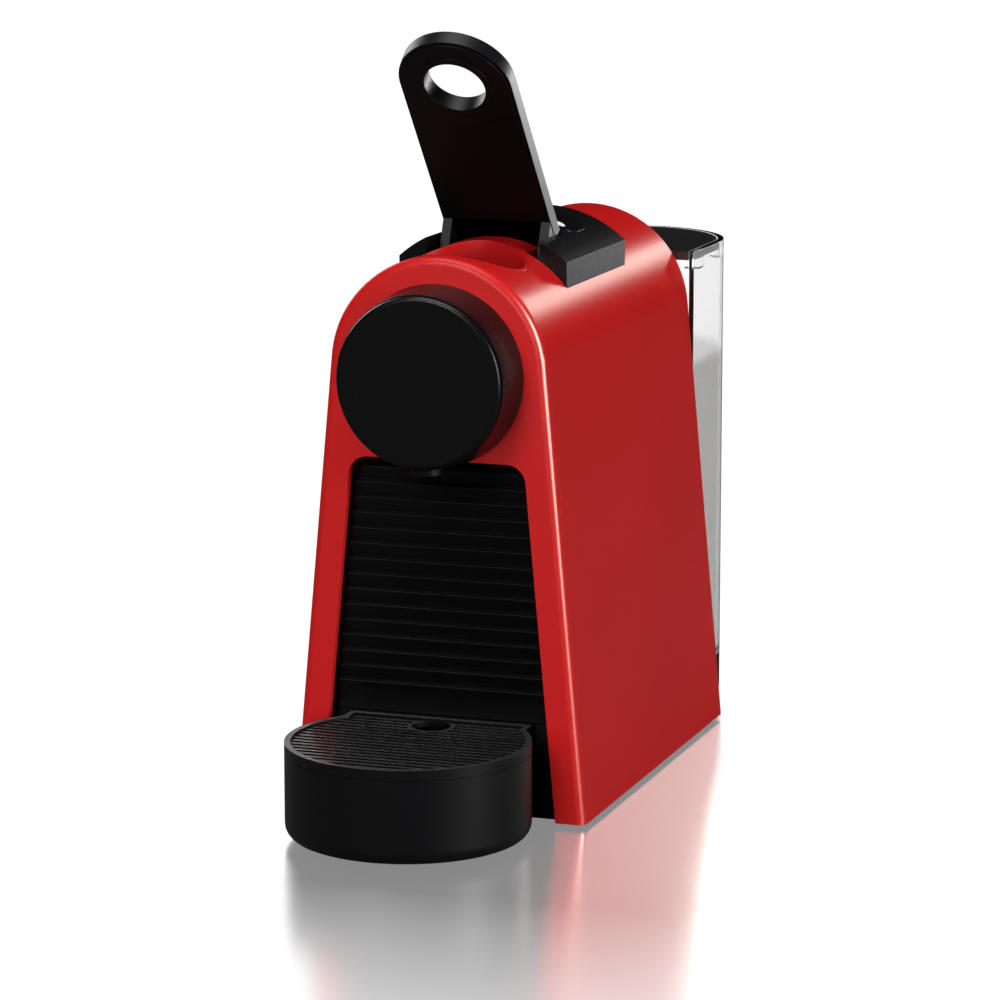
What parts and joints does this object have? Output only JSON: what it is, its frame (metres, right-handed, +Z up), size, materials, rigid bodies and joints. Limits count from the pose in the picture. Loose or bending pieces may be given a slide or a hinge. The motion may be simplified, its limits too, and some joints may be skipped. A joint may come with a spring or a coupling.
{
  "type": "capsule espresso machine",
  "caption": "Compact capsule espresso machine with arched red body, round brew head, drip tray, lever and clear rear tank.",
  "frame": {"origin": "under the middle of the whole machine, on the surface it stands on", "axes": "+X to the machine's right as seen from the front, +Y towards the water tank, +Z up"},
  "size_m": [0.1098, 0.325, 0.277],
  "materials": {
    "red_shell": "gloss, clear-lacquered look",
    "black_satin": "satin, fine moulded texture",
    "black_gloss": "semi-gloss",
    "grey_plastic": "moulded",
    "white_plastic": "moulded",
    "icon_white": "light-diffusing",
    "clear_tank": "clear moulded plastic",
    "rubber_black": "matt",
    "silicone": "matt",
    "steel": "brushed",
    "cast_aluminium": "as cast",
    "brass_fitting": "turned",
    "board_green": "solder mask"
  },
  "bodies": {
    "machine": {"body_shell": "red_shell", "front_fascia": "red_shell", "rear_panel": "black_satin", "base_plate": "black_satin", "rubber_feet": "rubber_black", "case_screws": "steel", "head_cover_ring": "black_gloss", "head_cover_cap": "black_gloss", "coffee_spout": "black_satin", "capsule_chute": "red_shell", "brew_frame": "grey_plastic", "extraction_plate": "steel", "plate_seal": "silicone", "idler_pins": "steel", "top_cover": "black_gloss", "control_board": "board_green", "espresso_dome": "silicone", "lungo_dome": "silicone", "valve_seal": "rubber_black", "valve_socket": "grey_plastic", "flow_meter": "white_plastic", "flow_meter_cover": "white_plastic", "pump_body": "white_plastic", "pump_coil": "black_satin", "pump_bracket": "steel", "pump_spring": "steel", "pump_mounts": "rubber_black", "thermoblock": "cast_aluminium", "inlet_gland": "brass_fitting", "thermostats": "white_plastic", "block_screws": "steel", "suction_hose": "silicone", "pump_hose": "silicone", "pressure_hose": "silicone", "power_board": "board_green", "cord_grommet": "rubber_black"},
    "lever_arm": {"lever": "black_satin", "lever_shaft": "steel"},
    "idler_left": {"idler_gear_left": "white_plastic"},
    "idler_right": {"idler_gear_right": "white_plastic"},
    "cage": {"capsule_cage": "grey_plastic", "cage_seal": "silicone", "injector_plate": "steel", "inlet_tube": "steel", "cage_racks": "white_plastic"},
    "espresso_key": {"espresso_button": "black_gloss", "espresso_icon": "icon_white"},
    "lungo_key": {"lungo_button": "black_gloss", "lungo_icon": "icon_white"},
    "drawer": {"drip_tray": "black_satin"},
    "grid": {"drip_grid": "black_satin"},
    "bin": {"capsule_bin": "black_satin", "slat_panel": "black_satin"},
    "tank": {"water_tank": "clear_tank", "tank_filter": "white_plastic", "valve_spring": "steel"},
    "lid": {"tank_lid": "black_satin"},
    "valve": {"tank_valve": "grey_plastic"},
    "piston": {"pump_piston": "steel"},
    "turbine": {"flow_turbine": "white_plastic"}
  },
  "joints": [
    {"name": "lever_swing", "type": "hinge", "parent": "machine", "child": "lever_arm", "pos_m": [0, -0.028, 0.186], "axis": [1, 0, 0], "range_deg": [0, 50]},
    {"name": "idler_left_spin", "type": "hinge", "parent": "machine", "child": "idler_left", "pos_m": [0, -0.028, 0.145], "axis": [1, 0, 0], "range_deg": [-291.7, 0]},
    {"name": "idler_right_spin", "type": "hinge", "parent": "machine", "child": "idler_right", "pos_m": [0, -0.028, 0.145], "axis": [1, 0, 0], "range_deg": [-291.7, 0]},
    {"name": "cage_slide", "type": "slide", "parent": "machine", "child": "cage", "axis": [0, -1, 0], "range_m": [0, 0.03055]},
    {"name": "espresso_press", "type": "slide", "parent": "machine", "child": "espresso_key", "axis": [0, 0, -1], "range_m": [0, 0.0012], "stiffness_N_per_m": 900, "deforming": ["espresso_dome"]},
    {"name": "lungo_press", "type": "slide", "parent": "machine", "child": "lungo_key", "axis": [0, 0, -1], "range_m": [0, 0.0012], "stiffness_N_per_m": 900, "deforming": ["lungo_dome"]},
    {"name": "drawer_slide", "type": "slide", "parent": "machine", "child": "drawer", "axis": [0, -1, 0], "range_m": [0, 0.09]},
    {"name": "grid_lift", "type": "slide", "parent": "drawer", "child": "grid", "axis": [0, 0, 1], "range_m": [0, 0.06]},
    {"name": "bin_lift", "type": "slide", "parent": "drawer", "child": "bin", "axis": [0, 0, 1], "range_m": [0, 0.003]},
    {"name": "tank_lift", "type": "slide", "parent": "machine", "child": "tank", "axis": [0, 0, 1], "range_m": [0, 0.04]},
    {"name": "lid_lift", "type": "slide", "parent": "tank", "child": "lid", "axis": [0, 0, 1], "range_m": [0, 0.04]},
    {"name": "valve_lift", "type": "slide", "parent": "tank", "child": "valve", "axis": [0, 0, -1], "range_m": [0, 0.0025], "deforming": ["valve_spring"]},
    {"name": "piston_stroke", "type": "slide", "parent": "machine", "child": "piston", "axis": [0, 0, -1], "range_m": [0, 0.006], "stiffness_N_per_m": 1500, "deforming": ["pump_spring"]},
    {"name": "turbine_spin", "type": "hinge", "parent": "machine", "child": "turbine", "pos_m": [0, -0.002, 0.012], "axis": [0, 0, 1], "continuous": true}
  ],
  "couplings": [
    {"joint": "idler_left_spin", "follows": "lever_swing", "ratio": -5.8333},
    {"joint": "idler_right_spin", "follows": "lever_swing", "ratio": -5.8333},
    {"joint": "cage_slide", "follows": "lever_swing", "m_per_rad": 0.035},
    {"joint": "valve_lift", "follows": "tank_lift", "ratio": 0.0625}
  ]
}
